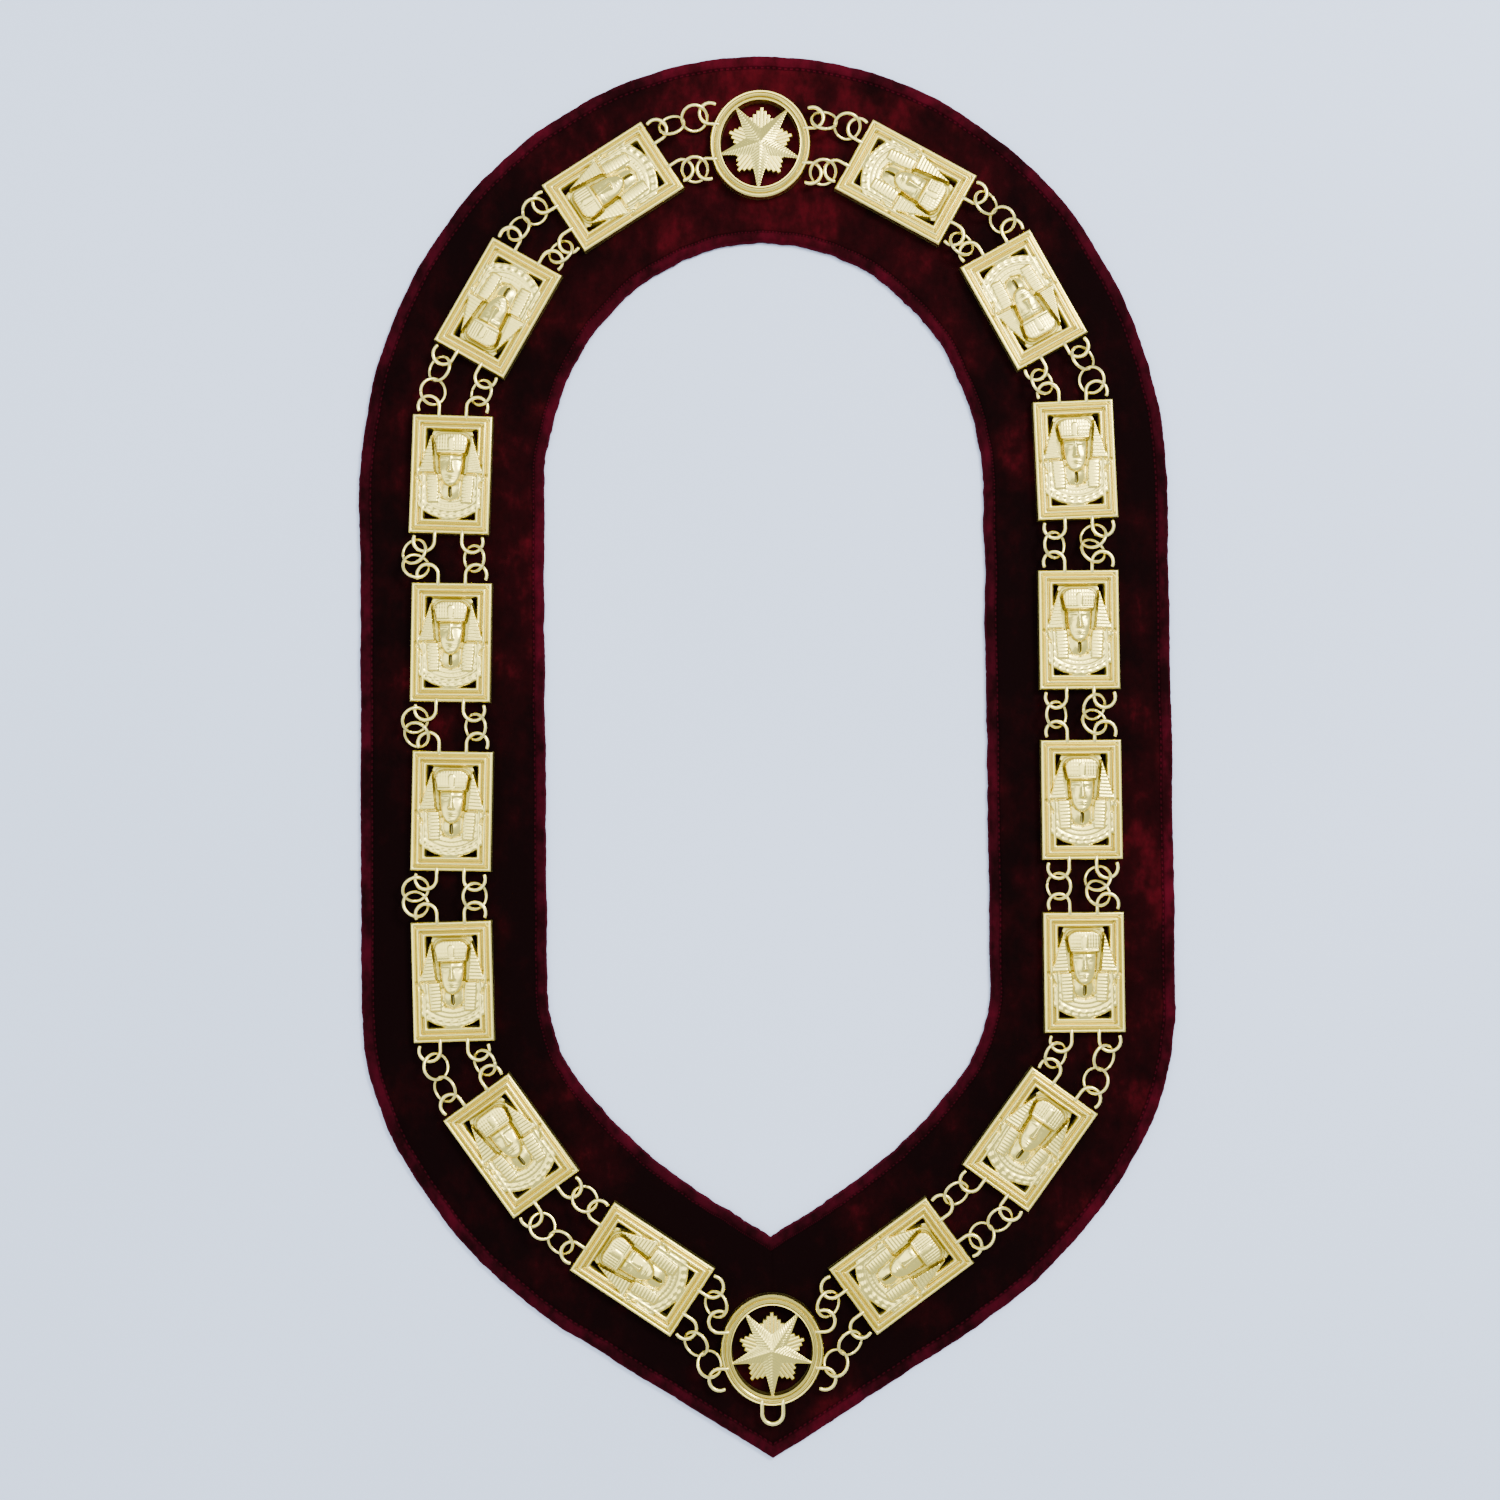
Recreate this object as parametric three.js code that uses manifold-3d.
// A ceremonial chain collar, laid flat as it is when it isn't worn: a velvet band that goes round the
// neck and comes to a point on the chest, with a metal chain lying on it. Sixteen pierced plaques with
// a raised bust and two oval star medallions are joined by pairs of ring strands. Every plaque and
// medallion is one casting with its own open hooks, and the rings hang in those hooks.
// +X is to the right of the face seen from above, +Y towards the back of the neck, +Z up from the table.
import * as THREE from "three";
import { mergeVertices } from "three/addons/utils/BufferGeometryUtils.js";
import Module from "manifold-3d";

const wasm = await Module();
wasm.setup();

const DEGREE = Math.PI / 180;

// Velvet band
const BAND_WIDTH = 73.6;
const BAND_THICKNESS = 2.6;
const BAND_EDGE_ROUND = 0.8;
const TRACK_HALF_WIDTH = 124.4; // from the collar's middle to the middle of the band at its sides
const CROWN_RISE = 140.2; // height of the half oval behind the neck, at the middle of the band
const POINT_DEPTH = 337; // from the widest place behind the neck down to the point, at the middle
const POINT_SLOPE = 32 * DEGREE; // slope of the two arms where they meet in the point
const POINT_TIP_RADIUS = 4;
const LAST_TURN = Math.PI / 2 - POINT_SLOPE; // how far a side has turned when it is an arm

// The bend from a side into an arm, at the band's outer edge, middle and inner edge: its first radius,
// how far it has turned when it eases, and the wider radius with which it then runs into the arm.
const BENDS = {
  outer: { radius: 123, turn: 30 * DEGREE, easingRadius: 199 },
  middle: { radius: 105, turn: 36 * DEGREE, easingRadius: 219 },
  inner: { radius: 62, turn: 38 * DEGREE, easingRadius: 195 },
};

// Plaques
const PLAQUE_WIDTH = 32;
const PLAQUE_LENGTH = 47.5;
const PLAQUE_RIM_WIDTH = 5.8; // from the plaque's edge to its pierced opening
const PLAQUE_RIM_STEP = 1.7; // width of the low outer step of the moulding
const PLAQUE_RIDGE_WIDTH = 2.5;
const PLAQUE_RIDGE_HEIGHT = 0.6; // of the ridge above the step
const PLAQUE_SHEET = 1.3; // thickness of the face between rim and hollow back
const PLAQUE_WALL = 1.1; // turned-down wall round the hollow back
const HOOK_SPREAD = 9.6; // from the plaque's middle line to the middle of a hook

// Heights of the bust above its chest, which lies level with the plaque's outer step
const HEADCLOTH_RELIEF = 0.9;
const HEAD_RELIEF = 1.8;
const NOSE_RELIEF = 2.6;

// Medallions
const MEDALLION_WIDTH = 40.4;
const MEDALLION_HEIGHT = 43.6;
const MEDALLION_RIM_WIDTH = 4.7;
const MEDALLION_SIDES = 16;
const MEDALLION_RIM_STEP = 1.2; // width of the low outer step of the moulding
const MEDALLION_RIDGE_WIDTH = 2.3;
const MEDALLION_HOOK_SPREAD = 11.2;
const MEDALLION_HOOK_ROOT = 1.4; // how far a hook's wire runs into the rim
const STAR_RISE = 3.2; // height of the star's centre above its foot
const STAR_FOOT = 0.4; // thickness of the rays below their foot
const RAY_ROOT = 0.6; // how far a long ray runs into the rim
const LONG_RAY_HALF_WIDTH = 4.2;
const SHORT_RAY_HALF_WIDTH = 4.6;
const SHORT_RAY_SHARE = 0.79; // of a long ray's length
const PENDANT_LOOP_RADIUS = 4.1;
const PENDANT_LOOP_DROP = 2.6; // from the medallion's edge to the middle of the loop

// Rings and hooks
const RING_DIAMETER = 11.2;
const RING_WIRE = 1.0;
const HOOK_DIAMETER = 9.8;
const HOOK_WIRE = 1.4;
const HOOK_MOUTH = 1.3; // opening between a hook's free end and its plaque
const STRAIGHT_PITCH = 6.9; // from a hook's centre to its ring's, in the inner strands on the sides
const POINT_PITCH = 6.1; // the same, midway between the two strands beside the medallion at the point
const SLACK_PITCH = 5.8; // between the centres of two links that hang slack
const RING_TILT = 34 * DEGREE; // the most that a ring stands up out of the plane of the hooks
const CHAIN_PLAY = 0.35; // slack left between a hook and its ring in a strand that is drawn out
const WIRE_GAP = 0.1; // least gap between a ring and a hook, before the wires are made many-sided
const MOST_GAP_WANTED = 0.4; // wider gaps than this make no tilt of a ring any better
const SEAT_GAP = 0.3; // between the band and what lies on it
const RINGS_MEET = 0.7; // between the middles of the two wires where the rings of an outer strand touch

const RING_SIDES = 10;
const WIRE_SIDES = 5;

// One row for each plaque from the back of the neck down to the point. left and right are how far along
// the middle of the band it lies, as a share of the way from the back to the point. The leans are the
// turn, in degrees, by which it lies off the band's direction, and head is where the bust's head points.
const PLAQUE_ROWS = [
  { left: 0.1033, right: 0.1013, leftLean: 1.2, rightLean: 1.3, head: "point" },
  { left: 0.2157, right: 0.2135, leftLean: -0.5, rightLean: -1.5, head: "point" },
  { left: 0.332, right: 0.3262, leftLean: 0.8, rightLean: -2.5, head: "back" },
  { left: 0.4434, right: 0.4389, leftLean: -1.2, rightLean: 0, head: "back" },
  { left: 0.5547, right: 0.551, leftLean: -1.4, rightLean: 0, head: "back" },
  { left: 0.6665, right: 0.6643, leftLean: 0.8, rightLean: 0, head: "back" },
  { left: 0.7824, right: 0.7812, leftLean: -1.6, rightLean: 0.7, head: "back" },
  { left: 0.9005, right: 0.8997, leftLean: 0.4, rightLean: 1.4, head: "back" },
];
const TOP_MEDALLION_LEAN = -3;

// One row for each gap between two plates, from the back down to the point: which way the two rings of
// the outer strand bow when it is slack, as +1 away from the collar's middle and -1 towards it.
const STRAND_ROWS = [
  { leftBow: 1, rightBow: -1 },
  { leftBow: 1, rightBow: 1 },
  { leftBow: -1, rightBow: 1 },
  { leftBow: 1, rightBow: -1 },
  { leftBow: 1, rightBow: -1 },
  { leftBow: 1, rightBow: -1 },
  { leftBow: 1, rightBow: 1 },
  { leftBow: 1, rightBow: 1 },
  { leftBow: 1, rightBow: 1 },
];

// Sizes that follow from the ones above
const ringRadius = (RING_DIAMETER - RING_WIRE) / 2;
const hookRadius = (HOOK_DIAMETER - HOOK_WIRE) / 2;
const meanWire = (RING_WIRE + HOOK_WIRE) / 2;
const touchingPitch = 2 * ringRadius - RINGS_MEET; // between the centres of two rings drawn out
const drawnReach = 2 * (ringRadius + hookRadius - meanWire - WIRE_GAP - CHAIN_PLAY);
const plateBack = BAND_THICKNESS + SEAT_GAP;
const chainPlane = plateBack + RING_WIRE / 2 + ringRadius * Math.sin(RING_TILT);
const stepHeight = chainPlane + HOOK_WIRE / 2 - plateBack; // the outer step covers the hooks

const velvet = new THREE.MeshStandardMaterial({ color: 0x3a0512, roughness: 0.95, metalness: 0 });
const gold = new THREE.MeshStandardMaterial({ color: 0xe9d07a, roughness: 0.28, metalness: 1 });

function solidOf(geometry) {
  const bare = geometry.index ? geometry.toNonIndexed() : geometry.clone();
  bare.deleteAttribute("normal");
  bare.deleteAttribute("uv");
  const merged = mergeVertices(bare, 1e-4);
  return new wasm.Manifold(
    new wasm.Mesh({
      numProp: 3,
      vertProperties: new Float32Array(merged.attributes.position.array),
      triVerts: new Uint32Array(merged.index.array),
    }),
  );
}

function geometryOf(solid) {
  const mesh = solid.getMesh();
  const positions = new Float32Array(mesh.numVert * 3);
  for (let i = 0; i < mesh.numVert; i++) {
    const start = i * mesh.numProp;
    positions.set(mesh.vertProperties.subarray(start, start + 3), i * 3);
  }
  return new THREE.BufferGeometry()
    .setAttribute("position", new THREE.BufferAttribute(positions, 3))
    .setIndex(new THREE.BufferAttribute(new Uint32Array(mesh.triVerts), 1));
}

function joined(solids) {
  return solids.reduce((whole, solid) => whole.add(solid));
}

// A closed outline, as [x, y] pairs, made solid between two heights. bevel slopes its upper edge.
function slab(outline, low, high, bevel = 0) {
  const shape = new THREE.Shape(outline.map(([x, y]) => new THREE.Vector2(x, y)));
  const geometry = new THREE.ExtrudeGeometry(shape, {
    depth: high - low - bevel,
    bevelEnabled: bevel > 0,
    bevelThickness: bevel,
    bevelSize: bevel,
    bevelOffset: -bevel,
    bevelSegments: 1,
  });
  return solidOf(geometry.translate(0, 0, low));
}

// Gives the other half of an outline whose left half is listed from top to bottom.
function mirrored(leftHalf) {
  const rightHalf = leftHalf.filter(([x]) => x < 0).map(([x, y]) => [-x, y]);
  return [...leftHalf, ...rightHalf.reverse()];
}

function box(width, length, low, high, x = 0, y = 0) {
  return solidOf(
    new THREE.BoxGeometry(width, length, high - low).translate(x, y, (low + high) / 2),
  );
}

// The right-hand half of a line that runs at an even offset from the middle of the band, from the back
// of the neck to the point, as one curve for each of its five stretches.
function halfLine(offset, bend) {
  const { radius, turn, easingRadius } = bend;
  const halfWidth = TRACK_HALF_WIDTH + offset;
  const pointY = -POINT_DEPTH - offset / Math.cos(POINT_SLOPE);
  const bendX = halfWidth - radius;
  const easingX = bendX - (easingRadius - radius) * Math.cos(turn);
  const armX = easingX + easingRadius * Math.cos(LAST_TURN);
  const armY = pointY + armX * Math.tan(POINT_SLOPE);
  const easingY = armY + easingRadius * Math.sin(LAST_TURN);
  const bendY = easingY - (easingRadius - radius) * Math.sin(turn);
  const arc = (x, y, a, b, from, to) => new THREE.EllipseCurve(x, y, a, b, from, to, true);
  const line = (x1, y1, x2, y2) =>
    new THREE.LineCurve(new THREE.Vector2(x1, y1), new THREE.Vector2(x2, y2));
  return [
    arc(0, 0, halfWidth, CROWN_RISE + offset, Math.PI / 2, 0),
    line(halfWidth, 0, halfWidth, bendY),
    arc(bendX, bendY, radius, radius, 0, -turn),
    arc(easingX, easingY, easingRadius, easingRadius, -turn, -LAST_TURN),
    line(armX, armY, 0, pointY),
  ];
}

const track = new THREE.CurvePath();
halfLine(0, BENDS.middle).forEach((stretch) => track.add(stretch));

// Edge of the band as points clockwise from the back of the neck, with its point rounded.
function bandEdge(offset, bend) {
  const [crown, , firstBend, easing] = halfLine(offset, bend);
  const tipY = -POINT_DEPTH + (POINT_TIP_RADIUS - offset) / Math.cos(POINT_SLOPE);
  const tip = new THREE.EllipseCurve(
    0,
    tipY,
    POINT_TIP_RADIUS,
    POINT_TIP_RADIUS,
    -LAST_TURN,
    -Math.PI / 2,
    true,
  );
  const half = [
    ...crown.getPoints(11),
    ...firstBend.getPoints(4),
    ...easing.getPoints(4).slice(1),
    ...tip.getPoints(2),
  ].map((p) => [p.x, p.y]);
  half[0][0] = 0;
  half[half.length - 1][0] = 0;
  const otherHalf = half.slice(1, -1).map(([x, y]) => [-x, y]);
  return [...half, ...otherHalf.reverse()].map(([x, y]) => new THREE.Vector2(x, y));
}

function velvetBand() {
  const shape = new THREE.Shape(bandEdge(BAND_WIDTH / 2, BENDS.outer).reverse());
  shape.holes.push(new THREE.Path(bandEdge(-BAND_WIDTH / 2, BENDS.inner)));
  const geometry = new THREE.ExtrudeGeometry(shape, {
    depth: BAND_THICKNESS - 2 * BAND_EDGE_ROUND,
    bevelEnabled: true,
    bevelThickness: BAND_EDGE_ROUND,
    bevelSize: BAND_EDGE_ROUND,
    bevelOffset: -BAND_EDGE_ROUND,
    bevelSegments: 1,
  });
  return geometry.translate(0, 0, BAND_EDGE_ROUND);
}

// Wire along a curve, with flat ends.
function wireAlong(curve, diameter, steps) {
  const section = new THREE.Shape(
    new THREE.EllipseCurve(0, 0, diameter / 2, diameter / 2, 0, 2 * Math.PI)
      .getPoints(WIRE_SIDES)
      .slice(0, -1),
  );
  return solidOf(
    new THREE.ExtrudeGeometry(section, { steps, bevelEnabled: false, extrudePath: curve }),
  );
}

// Middle of a hook's wire. It leaves the plate beside `side` times its half width, goes round, and ends
// free on the other side, short of the plate. The plate's edge is at y = 0 and the hook stands out to +Y.
class HookCurve extends THREE.Curve {
  constructor(x, y, standOff, side, root, radius = hookRadius, mouth = HOOK_MOUTH) {
    super();
    Object.assign(this, { x, y, standOff, side, root, radius, mouth });
    this.stem = root + standOff;
    this.arc = radius * (Math.PI + Math.max(0, Math.asin(Math.min(1, (standOff - mouth) / radius))));
  }
  getPoint(t, target = new THREE.Vector3()) {
    const along = t * (this.stem + this.arc);
    if (along <= this.stem)
      return target.set(this.x + this.side * this.radius, this.y - this.root + along, 0);
    const angle = (along - this.stem) / this.radius;
    return target.set(
      this.x + this.side * this.radius * Math.cos(angle),
      this.y + this.standOff + this.radius * Math.sin(angle),
      0,
    );
  }
}

// A curve turned half round about Z.
class TurnedCurve extends THREE.Curve {
  constructor(curve) {
    super();
    this.curve = curve;
  }
  getPoint(t, target = new THREE.Vector3()) {
    this.curve.getPoint(t, target);
    return target.set(-target.x, -target.y, target.z);
  }
}

// A hook's curve laid over, so that it stands out to +X for side +1 and to -X for side -1.
class SidewaysCurve extends THREE.Curve {
  constructor(curve, side) {
    super();
    Object.assign(this, { curve, side });
  }
  getPoint(t, target = new THREE.Vector3()) {
    this.curve.getPoint(t, target);
    return target.set(this.side * target.y, target.x, target.z);
  }
}

// How far a hook's centre stands off its plate, so that one ring just spans the gap on a straight side.
const straightGap = (PLAQUE_ROWS[4].right - PLAQUE_ROWS[3].right) * track.getLength() - PLAQUE_LENGTH;
const hookStandOff = straightGap / 2 - STRAIGHT_PITCH;

const HOOK_STEPS = 5;
const hookHeight = chainPlane - plateBack;

function hookSolid(curve) {
  return wireAlong(curve, HOOK_WIRE, HOOK_STEPS).translate([0, 0, hookHeight]);
}

function plaqueFrame() {
  const top = stepHeight;
  const ridge = top + PLAQUE_RIDGE_HEIGHT;
  const ridgeOut = PLAQUE_RIM_STEP;
  const ridgeIn = PLAQUE_RIM_STEP + PLAQUE_RIDGE_WIDTH;
  const inset = (by, low, high) =>
    box(PLAQUE_WIDTH - 2 * by, PLAQUE_LENGTH - 2 * by, low, high);
  return inset(0, 0, top)
    .add(inset(ridgeOut, top, ridge).subtract(inset(ridgeIn, top, ridge + 1)))
    .subtract(inset(PLAQUE_WALL, -1, top - PLAQUE_SHEET))
    .subtract(inset(PLAQUE_RIM_WIDTH, -1, ridge));
}

// The bust, all in shares of the half width and half length of the plaque.
function plaqueBust() {
  const scaled = (outline) =>
    outline.map(([x, y]) => [(x * PLAQUE_WIDTH) / 2, (y * PLAQUE_LENGTH) / 2]);
  const back = stepHeight - PLAQUE_SHEET;
  const sunk = stepHeight - PLAQUE_SHEET / 2;
  const silhouette = mirrored(
    scaled([
      [0, 0.775],
      [-0.5, 0.775],
      [-0.7, 0.33],
      [-0.7, -0.59],
      [-0.33, -0.745],
      [-0.33, -0.78],
      [0, -0.78],
    ]),
  );
  const cloth = scaled([
    [-0.4, 0.68],
    [-0.72, 0.05],
    [-0.56, -0.42],
    [-0.3, -0.42],
    [-0.3, 0.2],
  ]);
  const otherCloth = cloth.map(([x, y]) => [-x, y]).reverse();
  const head = mirrored(
    scaled([
      [0, 0.7],
      [-0.42, 0.7],
      [-0.36, 0.1],
      [-0.1, -0.22],
      [-0.08, -0.36],
      [0, -0.36],
    ]),
  );
  const nose = new THREE.ConeGeometry(0.12 * (PLAQUE_WIDTH / 2), 0.5 * (PLAQUE_LENGTH / 2), 4, 1)
    .scale(1, 1, (NOSE_RELIEF - HEAD_RELIEF) / (0.12 * (PLAQUE_WIDTH / 2)))
    .translate(0, 0.2 * (PLAQUE_LENGTH / 2), stepHeight + HEAD_RELIEF);
  return joined([
    slab(silhouette, back, stepHeight),
    slab(cloth, sunk, stepHeight + HEADCLOTH_RELIEF),
    slab(otherCloth, sunk, stepHeight + HEADCLOTH_RELIEF),
    slab(head, sunk, stepHeight + HEAD_RELIEF),
    solidOf(nose),
  ]);
}

// Hook curves of a plaque in its own frame, with +Y towards the bust's head.
function plaqueHooks() {
  const root = PLAQUE_WALL * 0.8;
  const hooks = {};
  for (const end of ["head", "foot"])
    for (const side of [-1, 1]) {
      const curve = new HookCurve(side * HOOK_SPREAD, PLAQUE_LENGTH / 2, hookStandOff, -side, root);
      hooks[end + (side < 0 ? "Left" : "Right")] = end === "head" ? curve : new TurnedCurve(curve);
    }
  return hooks;
}

function ovalRing(inset, width, low, high) {
  const oval = (by) =>
    new THREE.EllipseCurve(
      0,
      0,
      MEDALLION_WIDTH / 2 - by,
      MEDALLION_HEIGHT / 2 - by,
      0,
      2 * Math.PI,
    )
      .getPoints(MEDALLION_SIDES)
      .slice(0, -1)
      .map((p) => [p.x, p.y]);
  const inner = slab(oval(inset + width), low - 1, high + 1);
  return slab(oval(inset), low, high).subtract(inner);
}

// Five long rays, one pointing down, and five short ones between them.
function star() {
  const foot = stepHeight - PLAQUE_SHEET;
  const reachX = MEDALLION_WIDTH / 2 - MEDALLION_RIM_WIDTH + RAY_ROOT;
  const reachY = MEDALLION_HEIGHT / 2 - MEDALLION_RIM_WIDTH + RAY_ROOT;
  const rays = [];
  for (let i = 0; i < 10; i++) {
    const long = i % 2 === 0;
    const angle = -Math.PI / 2 + (i * Math.PI) / 5;
    const reach = (long ? 1 : SHORT_RAY_SHARE) * Math.hypot(
      reachX * Math.cos(angle),
      reachY * Math.sin(angle),
    );
    const halfWidth = long ? LONG_RAY_HALF_WIDTH : SHORT_RAY_HALF_WIDTH;
    const rise = (long ? 1 : 0.8) * STAR_RISE;
    const ray = new THREE.ConeGeometry(1, reach, 4)
      .translate(0, reach / 2, 0)
      .scale(halfWidth, 1, rise)
      .rotateZ(angle - Math.PI / 2)
      .translate(0, 0, foot);
    rays.push(solidOf(ray));
  }
  return joined(rays).subtract(
    box(MEDALLION_WIDTH, MEDALLION_HEIGHT, foot - STAR_RISE - 1, foot - STAR_FOOT),
  );
}

// Hook curves of a medallion in its own frame, with their free ends away from its middle.
function medallionHooks() {
  const edge =
    (MEDALLION_WIDTH / 2) * Math.sqrt(1 - (MEDALLION_HOOK_SPREAD / (MEDALLION_HEIGHT / 2)) ** 2);
  const pointGap = (1 - PLAQUE_ROWS.at(-1).left) * track.getLength() - PLAQUE_LENGTH / 2 - edge;
  const standOff = pointGap / 2 - POINT_PITCH;
  const hooks = {};
  for (const side of [-1, 1])
    for (const half of [-1, 1]) {
      const curve = new HookCurve(
        half * MEDALLION_HOOK_SPREAD,
        edge,
        standOff,
        -half,
        MEDALLION_HOOK_ROOT,
      );
      hooks[(half < 0 ? "lower" : "upper") + (side < 0 ? "Left" : "Right")] = new SidewaysCurve(
        curve,
        side,
      );
    }
  return hooks;
}

// Where a plate's hook ends up: its centre line as points, and the centre of its bow.
function placedHook(curve, plate) {
  plate.updateMatrix();
  const toCollar = (p) => p.applyMatrix4(plate.matrix).setZ(chainPlane);
  const points = curve.getPoints(24).map(toCollar);
  const inner = curve.curve ?? curve;
  const hook = inner.curve ?? inner;
  const centre = new THREE.Vector3(hook.x, hook.y + hook.standOff, 0);
  if (curve instanceof TurnedCurve) centre.set(-centre.x, -centre.y, 0);
  if (curve instanceof SidewaysCurve) centre.set(curve.side * centre.y, centre.x, 0);
  return { points, centre: toCollar(centre) };
}

const collar = new THREE.Group();

function addMesh(name, geometry, material) {
  const mesh = new THREE.Mesh(geometry, material);
  mesh.name = name;
  collar.add(mesh);
  return mesh;
}

addMesh("velvet_band", velvetBand(), velvet);

const plaqueCurves = plaqueHooks();
const plaqueGeometry = geometryOf(
  joined([plaqueFrame(), plaqueBust(), ...Object.values(plaqueCurves).map(hookSolid)]),
);

const medallionCurves = medallionHooks();
const medallionRidge = stepHeight + PLAQUE_RIDGE_HEIGHT;
const medallionBody = joined([
  ovalRing(0, MEDALLION_RIM_WIDTH, 0, stepHeight),
  ovalRing(MEDALLION_RIM_STEP, MEDALLION_RIDGE_WIDTH, stepHeight, medallionRidge),
  star(),
  ...Object.values(medallionCurves).map(hookSolid),
]);

// The closed loop under the point that a pendant would hang from: a hook and a second arm to close it.
function pendantLoop() {
  const edge = MEDALLION_HEIGHT / 2;
  const hook = new HookCurve(
    0,
    edge,
    PENDANT_LOOP_DROP,
    1,
    MEDALLION_HOOK_ROOT,
    PENDANT_LOOP_RADIUS,
  );
  const arm = wireAlong(
    new THREE.LineCurve3(
      new THREE.Vector3(PENDANT_LOOP_RADIUS, MEDALLION_HOOK_ROOT - edge, 0),
      new THREE.Vector3(PENDANT_LOOP_RADIUS, -PENDANT_LOOP_DROP - edge, 0),
    ),
    HOOK_WIRE,
    1,
  );
  return hookSolid(new TurnedCurve(hook)).add(arm.translate([0, 0, hookHeight]));
}

// Places a plate at a share of the way round, turned by lean; side is -1 for left and +1 for right.
function placePlate(mesh, share, side, lean, head) {
  const place = track.getPoint(share);
  const ahead = track.getTangent(share);
  const towardsBack = Math.atan2(-ahead.y, -side * ahead.x);
  const up = head === "back" ? towardsBack : towardsBack + Math.PI;
  mesh.position.set(side * place.x, place.y, plateBack);
  mesh.rotation.z = up - Math.PI / 2 + lean * DEGREE;
  return mesh;
}

const topMedallion = addMesh("star_medallion_back", geometryOf(medallionBody), gold);
topMedallion.position.set(0, CROWN_RISE, plateBack);
topMedallion.rotation.z = TOP_MEDALLION_LEAN * DEGREE;
const pointMedallion = addMesh(
  "star_medallion_point",
  geometryOf(medallionBody.add(pendantLoop())),
  gold,
);
pointMedallion.position.set(0, -POINT_DEPTH, plateBack);

// A ring whose plane is tilted by `tilt` about the level line at angle `axis`.
function ringPose(centre, axis, tilt) {
  const normal = new THREE.Vector3(0, 0, 1).applyAxisAngle(
    new THREE.Vector3(Math.cos(axis), Math.sin(axis), 0),
    tilt,
  );
  const level = new THREE.Vector3(Math.cos(axis), Math.sin(axis), 0);
  const across = new THREE.Vector3().crossVectors(normal, level);
  const points = [];
  for (let i = 0; i < 36; i++) {
    const angle = (i * Math.PI) / 18;
    points.push(
      centre
        .clone()
        .addScaledVector(level, ringRadius * Math.cos(angle))
        .addScaledVector(across, ringRadius * Math.sin(angle)),
    );
  }
  return { centre, normal, level, across, points };
}

function leastDistance(some, others) {
  let least = Infinity;
  for (const a of some) for (const b of others) least = Math.min(least, a.distanceToSquared(b));
  return Math.sqrt(least);
}

// True if the line through the points goes through the ring's disc an odd number of times.
function isThreaded(points, ring, closed) {
  let crossings = 0;
  const last = closed ? points.length : points.length - 1;
  for (let i = 0; i < last; i++) {
    const a = points[i];
    const b = points[(i + 1) % points.length];
    const heightA = a.clone().sub(ring.centre).dot(ring.normal);
    const heightB = b.clone().sub(ring.centre).dot(ring.normal);
    if (heightA > 0 === heightB > 0) continue;
    const crossing = a.clone().lerp(b, heightA / (heightA - heightB));
    if (crossing.distanceTo(ring.centre) < ringRadius) crossings++;
  }
  return crossings % 2 === 1;
}

// The ways to tilt a ring at a centre that thread it on all the hooks given, with its least gap to them.
function tiltsOn(hooks, centre) {
  const found = [];
  for (let i = 0; i < 72; i++)
    for (const tilt of [0.7 * RING_TILT, 0.85 * RING_TILT, RING_TILT]) {
      const ring = ringPose(centre, (i * Math.PI) / 36, tilt);
      if (!hooks.every((hook) => isThreaded(hook.points, ring, false))) continue;
      const gaps = hooks.map((hook) => leastDistance(hook.points, ring.points) - meanWire);
      found.push({ ring, gap: Math.min(...gaps) });
    }
  return found;
}

// Centres of the rings of a strand. One ring lies halfway; more are drawn out in line, or bow if slack.
function strandCentres(from, to, rings, bow) {
  if (rings === 1) return [from.clone().lerp(to, 0.5)];
  const line = to.clone().sub(from);
  const span = line.length();
  line.normalize();
  const isSlack = span < 3 * SLACK_PITCH;
  const ringPitch = isSlack ? SLACK_PITCH : touchingPitch;
  const along = (span - (rings - 1) * ringPitch) / 2;
  const out = isSlack ? Math.sqrt(SLACK_PITCH ** 2 - along ** 2) : 0;
  const first = from
    .clone()
    .addScaledVector(line, along)
    .addScaledVector(new THREE.Vector3(-line.y, line.x, 0), bow * out);
  return Array.from({ length: rings }, (_, i) => first.clone().addScaledVector(line, i * ringPitch));
}

function singleRing(hookA, hookB, centre) {
  return tiltsOn([hookA, hookB], centre).sort((a, b) => b.gap - a.gap)[0].ring;
}

// The pair of tilts that clears both hooks best while the two rings touch.
function ringPair(hookA, hookB, [centreA, centreB]) {
  let best = { rings: [], least: -Infinity };
  for (const a of tiltsOn([hookA], centreA))
    for (const b of tiltsOn([hookB], centreB)) {
      if (Math.min(a.gap, b.gap) < Math.max(WIRE_GAP, best.least)) continue;
      if (!isThreaded(b.ring.points, a.ring, true)) continue;
      const between = leastDistance(a.ring.points, b.ring.points);
      const least = Math.min(a.gap, b.gap, MOST_GAP_WANTED) - Math.abs(between - RINGS_MEET);
      if (least > best.least) best = { rings: [a.ring, b.ring], least };
    }
  return best.rings;
}

// Rings in line, each tilted the other way from the last, so that they touch end to end.
function ringsInLine(from, to, centres) {
  const axis = Math.atan2(to.y - from.y, to.x - from.x);
  return centres.map((centre, i) => ringPose(centre, axis, (i % 2 ? -1 : 1) * RING_TILT));
}

function ringSolid(ring) {
  const place = new THREE.Matrix4()
    .makeBasis(ring.level, ring.across, ring.normal)
    .setPosition(ring.centre);
  return solidOf(
    new THREE.TorusGeometry(ringRadius, RING_WIRE / 2, WIRE_SIDES, RING_SIDES).applyMatrix4(place),
  );
}

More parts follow.
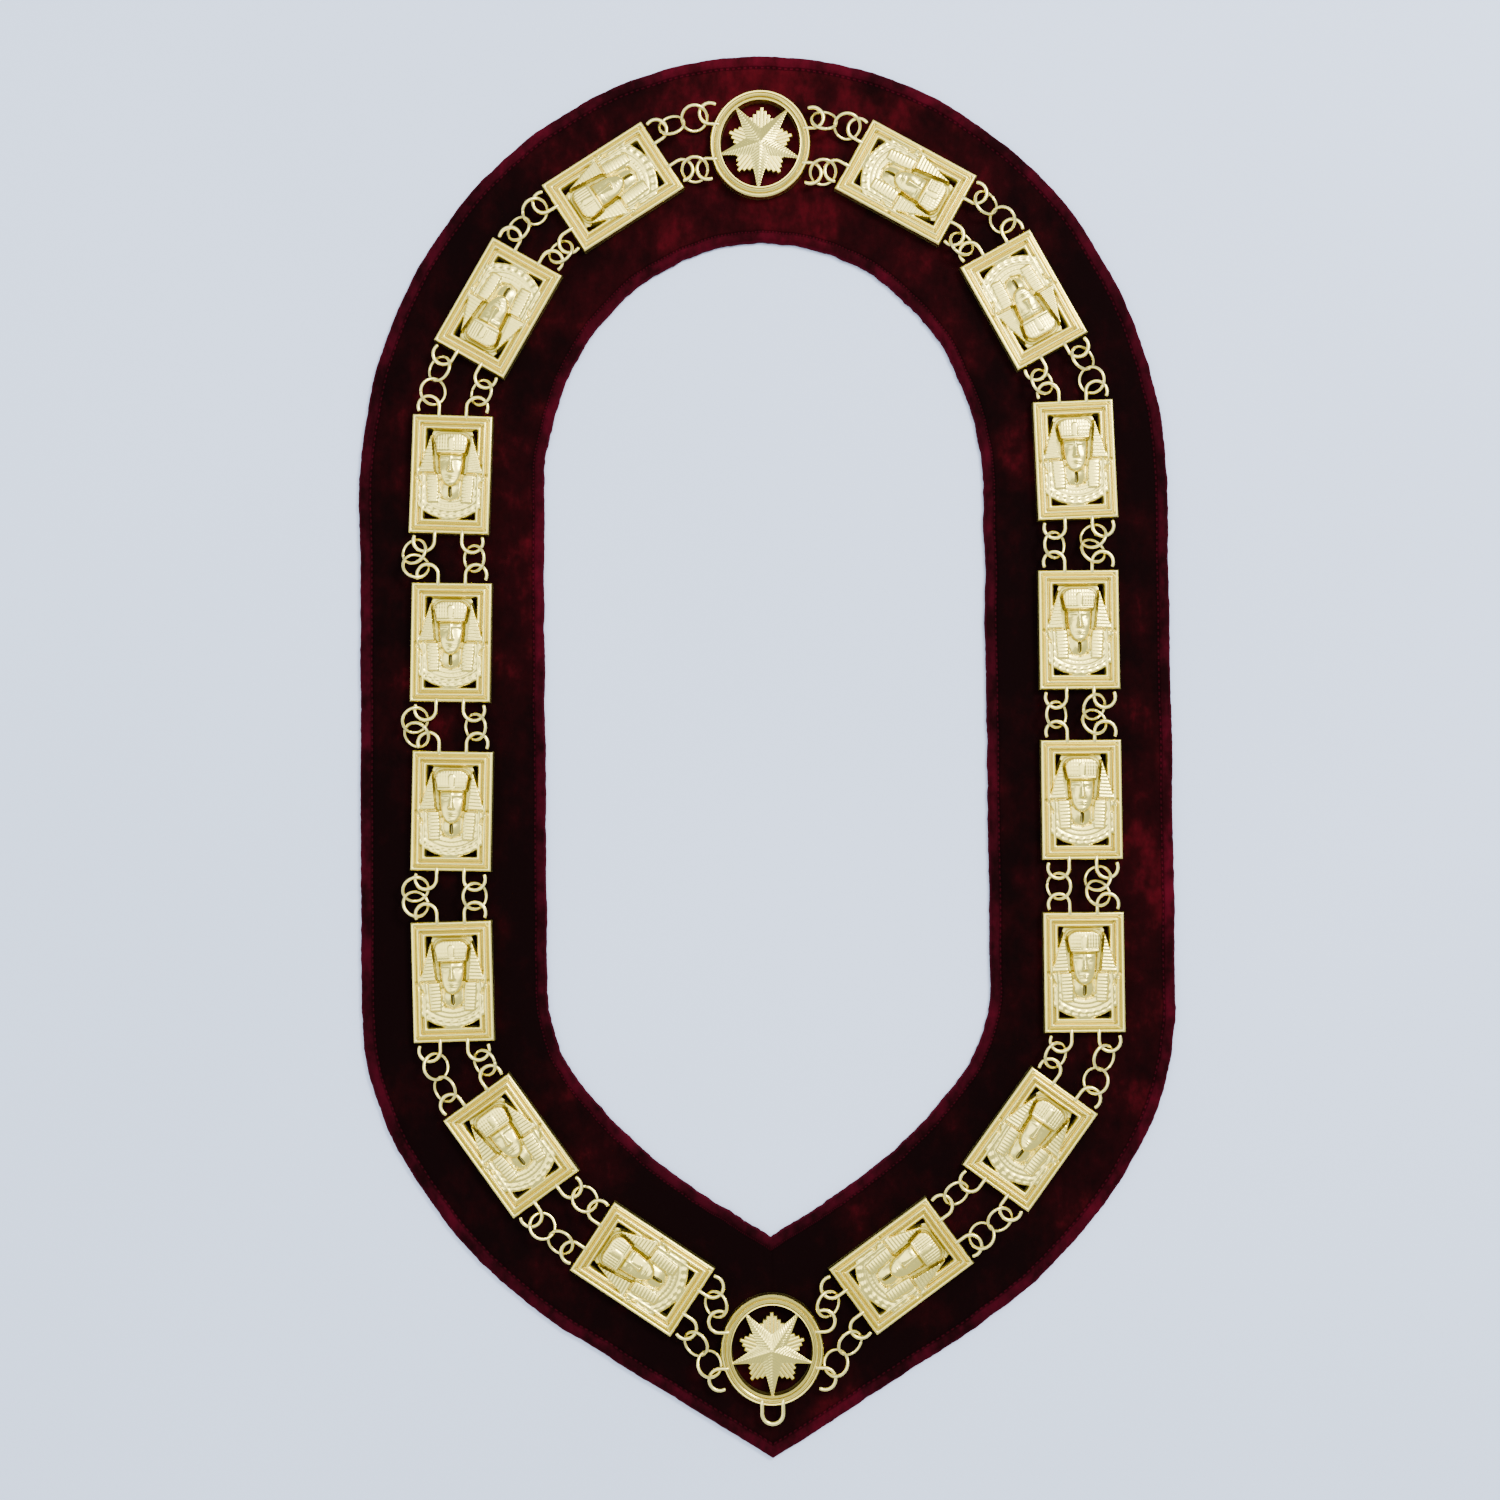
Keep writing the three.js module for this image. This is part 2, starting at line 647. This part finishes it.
function addStrand(name, hookA, hookB, fewestRings, bow) {
  const span = hookA.centre.distanceTo(hookB.centre);
  const extraRings = Math.max(0, Math.ceil((span - drawnReach) / touchingPitch) + 1 - fewestRings);
  const rings = fewestRings + extraRings;
  const centres = strandCentres(hookA.centre, hookB.centre, rings, bow);
  let chosen = ringsInLine(hookA.centre, hookB.centre, centres);
  if (rings === 1) chosen = [singleRing(hookA, hookB, centres[0])];
  if (rings === 2) chosen = ringPair(hookA, hookB, centres);
  return addMesh(name, geometryOf(joined(chosen.map(ringSolid))), gold);
}

// One side of the chain: its plaques in order, and the strands in the gaps before and after each.
function addSide(sideName, side) {
  const plates = PLAQUE_ROWS.map((row, i) => {
    const mesh = addMesh(`plaque_${sideName}_${i + 1}`, plaqueGeometry, gold);
    return placePlate(mesh, row[sideName], side, row[`${sideName}Lean`], row.head);
  });
  const medallionSide = side < 0 ? "Left" : "Right";
  const hookOf = (i, towards, strand) => {
    if (i < 0 || i === plates.length) {
      const half = (i < 0) === (strand === "outer") ? "upper" : "lower";
      const medallion = i < 0 ? topMedallion : pointMedallion;
      return placedHook(medallionCurves[half + medallionSide], medallion);
    }
    const headIsBack = PLAQUE_ROWS[i].head === "back";
    const end = (towards === "back") === headIsBack ? "head" : "foot";
    const onRight = (side > 0) === (strand === "outer");
    const ownSide = onRight === headIsBack;
    const curveSide = end === "head" ? ownSide : !ownSide;
    return placedHook(plaqueCurves[end + (curveSide ? "Right" : "Left")], plates[i]);
  };
  STRAND_ROWS.forEach((row, i) => {
    const bow = row[`${sideName}Bow`] * side;
    for (const [strand, rings] of [
      ["outer", 2],
      ["inner", 1],
    ])
      addStrand(
        `rings_${sideName}_${strand}_${i + 1}`,
        hookOf(i - 1, "point", strand),
        hookOf(i, "back", strand),
        rings,
        bow,
      );
  });
}

addSide("left", -1);
addSide("right", 1);

// The origin is the middle of the band's outline, on the table.
const outline = new THREE.Box2().setFromPoints(bandEdge(BAND_WIDTH / 2, BENDS.outer));
collar.position.y = -(outline.min.y + outline.max.y) / 2;

export default collar;
